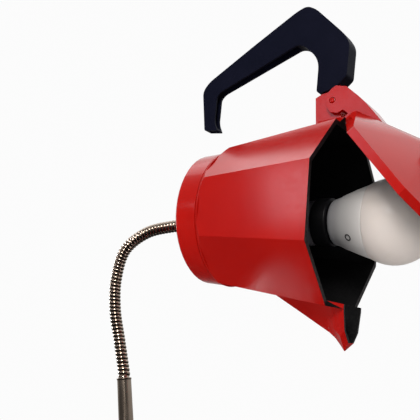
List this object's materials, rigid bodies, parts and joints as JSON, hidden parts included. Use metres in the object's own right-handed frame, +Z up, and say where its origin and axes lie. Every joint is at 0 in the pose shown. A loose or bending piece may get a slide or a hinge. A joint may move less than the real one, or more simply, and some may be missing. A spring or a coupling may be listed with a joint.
{
  "type": "upcycled moka pot desk lamp",
  "caption": "Desk lamp made from a red faceted stovetop coffee maker: its upper half is the shade on a flexible neck, with the lid, spout and handle kept.",
  "frame": {"origin": "centre of the foot pad's underside, on the table", "axes": "+Z up along the stem, +X the way the shade's mouth points, +Y to the far side"},
  "size_m": [0.2969, 0.105, 0.3764],
  "materials": {
    "red_lacquer": "high gloss red lacquer",
    "bakelite": "satin black phenolic",
    "dark_gloss": "glossy dark grey",
    "opal": "opal diffuser, satin",
    "white_plastic": "satin off-white",
    "nickel": "bright nickel plate",
    "aluminium": "turned, satin",
    "steel": "zinc bright",
    "brass": "polished",
    "iron": "as cast",
    "rubber": "matte",
    "circuit_board": "white solder mask",
    "ceramic": null
  },
  "bodies": {
    "base": {"boiler": "red_lacquer", "foot_pad": "rubber", "base_bolt": "steel", "ballast": "iron", "base_cap": "aluminium", "cable_gland": "brass", "gland_nut": "brass", "stem": "nickel", "stem_collar": "nickel", "stem_washer": "steel", "stem_nut": "brass"},
    "neck_1": {"neck_link_1": "nickel"},
    "neck_2": {"neck_link_2": "nickel"},
    "neck_3": {"neck_link_3": "nickel"},
    "neck_4": {"neck_link_4": "nickel"},
    "neck_5": {"neck_link_5": "nickel"},
    "neck_6": {"neck_link_6": "nickel"},
    "neck_7": {"neck_link_7": "nickel"},
    "head": {"upper_chamber": "red_lacquer", "hinge_pin": "red_lacquer", "handle": "bakelite", "lampholder_ring": "bakelite", "lampholder_cap": "dark_gloss", "lampholder_body": "dark_gloss", "bulb_insulator": "dark_gloss", "bulb_globe": "opal", "bulb_housing": "white_plastic", "neck_end_fitting": "nickel", "bulb_screw_cap": "nickel", "filter_plate": "aluminium", "led_board": "circuit_board", "led_driver": "circuit_board", "handle_pin": "steel", "nipple_washer": "steel", "threaded_nipple": "brass", "nipple_nut": "brass", "thread_sleeve": "brass", "centre_contact": "brass", "bulb_tip": "brass", "gasket": "rubber", "lampholder_core": "ceramic"},
    "lid": {"lid": "red_lacquer", "lid_knob": "bakelite", "lid_knob_screw": "steel"}
  },
  "joints": [
    {"name": "neck_pitch_1", "type": "hinge", "parent": "base", "child": "neck_1", "pos_m": [0, 0, 0.1695], "axis": [0, 1, 0], "range_deg": [-12, 8]},
    {"name": "neck_side_1", "type": "hinge", "parent": "neck_1", "child": "neck_2", "pos_m": [-0.0025, 0, 0.19], "axis": [-0.9928, 0, -0.1196], "range_deg": [-15, 15]},
    {"name": "neck_pitch_2", "type": "hinge", "parent": "neck_2", "child": "neck_3", "pos_m": [-0.005, 0, 0.211], "axis": [0, 1, 0], "range_deg": [-12, 8]},
    {"name": "neck_side_2", "type": "hinge", "parent": "neck_3", "child": "neck_4", "pos_m": [-0.003, 0, 0.2315], "axis": [-0.9624, 0, 0.2715], "range_deg": [-15, 15]},
    {"name": "neck_pitch_3", "type": "hinge", "parent": "neck_4", "child": "neck_5", "pos_m": [0.006, 0, 0.25], "axis": [0, 1, 0], "range_deg": [-12, 8]},
    {"name": "neck_side_3", "type": "hinge", "parent": "neck_5", "child": "neck_6", "pos_m": [0.0245, 0, 0.2585], "axis": [-0.2175, 0, 0.9761], "range_deg": [-15, 15]},
    {"name": "neck_pitch_4", "type": "hinge", "parent": "neck_6", "child": "neck_7", "pos_m": [0.0455, 0, 0.2588], "axis": [0, 1, 0], "range_deg": [-12, 8]},
    {"name": "neck_side_4", "type": "hinge", "parent": "neck_7", "child": "head", "pos_m": [0.0661, 0, 0.256], "axis": [0.1347, 0, 0.9909], "range_deg": [-15, 15]},
    {"name": "lid_hinge", "type": "hinge", "parent": "head", "child": "lid", "pos_m": [0.17182, 0, 0.3078], "axis": [0, -1, 0], "range_deg": [-4, 44]}
  ],
  "couplings": [
    {"joint": "neck_pitch_2", "follows": "neck_pitch_1", "ratio": 1},
    {"joint": "neck_side_2", "follows": "neck_side_1", "ratio": 1},
    {"joint": "neck_pitch_3", "follows": "neck_pitch_1", "ratio": 1},
    {"joint": "neck_side_3", "follows": "neck_side_1", "ratio": 1},
    {"joint": "neck_pitch_4", "follows": "neck_pitch_1", "ratio": 1},
    {"joint": "neck_side_4", "follows": "neck_side_1", "ratio": 1}
  ]
}
